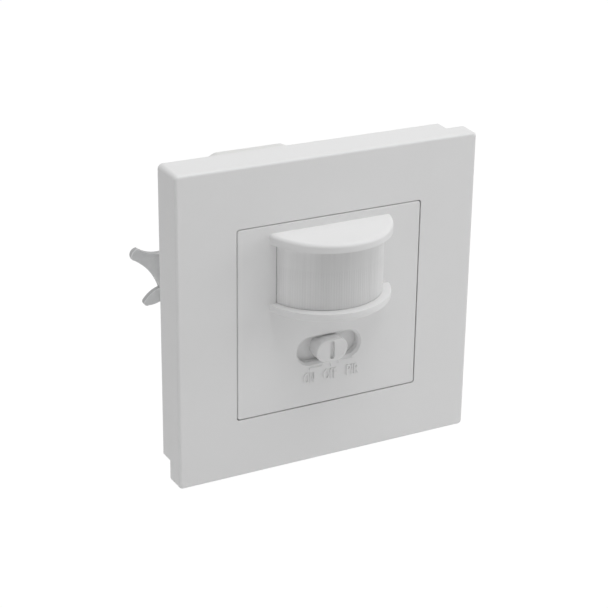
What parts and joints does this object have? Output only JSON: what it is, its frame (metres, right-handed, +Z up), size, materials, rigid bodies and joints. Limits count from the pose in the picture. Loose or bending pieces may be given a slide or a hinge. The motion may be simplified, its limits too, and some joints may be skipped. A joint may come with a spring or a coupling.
{
  "type": "motion sensor light switch",
  "caption": "Square flush wall switch with a hooded motion-sensor window above a small oval slide knob, on a round-box rear housing with screw-drawn claws.",
  "frame": {"origin": "on the wall plane, midway between the two box screws", "axes": "-Y points out of the wall to the room, +Z up, +X to the viewer's right"},
  "size_m": [0.082, 0.0611, 0.082],
  "materials": {
    "white_cover": "fine satin",
    "milky_lens": "milky, finely ribbed",
    "black_plastic": "moulded",
    "pale_housing": "moulded, matt",
    "zinc_steel": "zinc plated",
    "board": "solder-mask lacquer",
    "tin_can": "tinned",
    "dark_glass": "filter glass",
    "clear_dome": "clear",
    "trimmer_blue": "moulded",
    "white_nylon": "moulded",
    "relay_case": "moulded",
    "film_cap": "moulded",
    "capacitor_sleeve": "shrunk sleeve",
    "varistor_blue": "dipped lacquer",
    "fuse_body": "glazed tube",
    "resistor_body": "lacquered",
    "copper_wire": "enamelled winding",
    "gold_pin": "plated",
    "terminal_plastic": "moulded",
    "brass": "bare"
  },
  "bodies": {
    "body": {"cover_frame": "white_cover", "centre_plate": "white_cover", "fresnel_lens": "milky_lens", "slide_switch_body": "black_plastic", "sensor_board": "board", "pir_sensor_can": "tin_can", "pir_sensor_window": "dark_glass", "pir_sensor_base": "tin_can", "light_sensor": "clear_dome", "time_trimmer_body": "trimmer_blue", "light_trimmer_body": "trimmer_blue", "base_plate": "pale_housing", "mounting_yoke": "zinc_steel", "housing_screws": "zinc_steel", "rear_housing": "pale_housing", "power_board": "board", "relay": "relay_case", "mains_capacitor": "film_cap", "smoothing_capacitors": "capacitor_sleeve", "varistor": "varistor_blue", "fuse": "fuse_body", "rectifier_diodes": "black_plastic", "dropper_resistors": "resistor_body", "suppression_coil": "copper_wire", "board_screws": "zinc_steel", "board_connector_body": "black_plastic", "board_connector_pins": "gold_pin", "terminal_block": "terminal_plastic", "terminal_bars": "brass"},
    "knob": {"slide_knob": "white_cover", "slide_switch_lever": "black_plastic"},
    "time_rotor": {"time_trimmer_rotor": "white_nylon"},
    "light_rotor": {"light_trimmer_rotor": "white_nylon"},
    "left_claw_screw": {"claw_screw_left": "zinc_steel"},
    "left_claw": {"claw_left": "zinc_steel"},
    "right_claw_screw": {"claw_screw_right": "zinc_steel"},
    "right_claw": {"claw_right": "zinc_steel"},
    "screw_1": {"terminal_screw_1": "zinc_steel"},
    "cage_1": {"terminal_cage_1": "brass"},
    "screw_2": {"terminal_screw_2": "zinc_steel"},
    "cage_2": {"terminal_cage_2": "brass"},
    "screw_3": {"terminal_screw_3": "zinc_steel"},
    "cage_3": {"terminal_cage_3": "brass"}
  },
  "joints": [
    {"name": "knob_slide", "type": "slide", "parent": "body", "child": "knob", "axis": [1, 0, 0], "range_m": [-0.004, 0.004]},
    {"name": "time_trimmer_turn", "type": "hinge", "parent": "body", "child": "time_rotor", "pos_m": [-0.012, -0.0056, -0.0182], "axis": [0, 1, 0], "range_deg": [-135, 135]},
    {"name": "light_trimmer_turn", "type": "hinge", "parent": "body", "child": "light_rotor", "pos_m": [0.012, -0.0056, -0.0182], "axis": [0, 1, 0], "range_deg": [-135, 135]},
    {"name": "left_claw_screw_turn", "type": "hinge", "parent": "body", "child": "left_claw_screw", "pos_m": [-0.02626, 0, 0], "axis": [0, 1, 0], "range_deg": [0, 5400]},
    {"name": "left_claw_draw", "type": "slide", "parent": "body", "child": "left_claw", "axis": [0, -1, 0], "range_m": [0, 0.009]},
    {"name": "right_claw_screw_turn", "type": "hinge", "parent": "body", "child": "right_claw_screw", "pos_m": [0.02626, 0, 0], "axis": [0, 1, 0], "range_deg": [0, 5400]},
    {"name": "right_claw_draw", "type": "slide", "parent": "body", "child": "right_claw", "axis": [0, -1, 0], "range_m": [0, 0.009]},
    {"name": "screw_1_turn", "type": "hinge", "parent": "body", "child": "screw_1", "pos_m": [-0.007, 0.029, -0.0263], "axis": [0, 0, 1], "range_deg": [0, 1584]},
    {"name": "cage_1_lift", "type": "slide", "parent": "body", "child": "cage_1", "axis": [0, 0, -1], "range_m": [0, 0.0022]},
    {"name": "screw_2_turn", "type": "hinge", "parent": "body", "child": "screw_2", "pos_m": [0, 0.029, -0.0263], "axis": [0, 0, 1], "range_deg": [0, 1584]},
    {"name": "cage_2_lift", "type": "slide", "parent": "body", "child": "cage_2", "axis": [0, 0, -1], "range_m": [0, 0.0022]},
    {"name": "screw_3_turn", "type": "hinge", "parent": "body", "child": "screw_3", "pos_m": [0.007, 0.029, -0.0263], "axis": [0, 0, 1], "range_deg": [0, 1584]},
    {"name": "cage_3_lift", "type": "slide", "parent": "body", "child": "cage_3", "axis": [0, 0, -1], "range_m": [0, 0.0022]}
  ],
  "couplings": [
    {"joint": "left_claw_screw_turn", "follows": "left_claw_draw", "rad_per_m": 10472},
    {"joint": "right_claw_screw_turn", "follows": "right_claw_draw", "rad_per_m": 10472},
    {"joint": "screw_1_turn", "follows": "cage_1_lift", "rad_per_m": 12566},
    {"joint": "screw_2_turn", "follows": "cage_2_lift", "rad_per_m": 12566},
    {"joint": "screw_3_turn", "follows": "cage_3_lift", "rad_per_m": 12566}
  ]
}
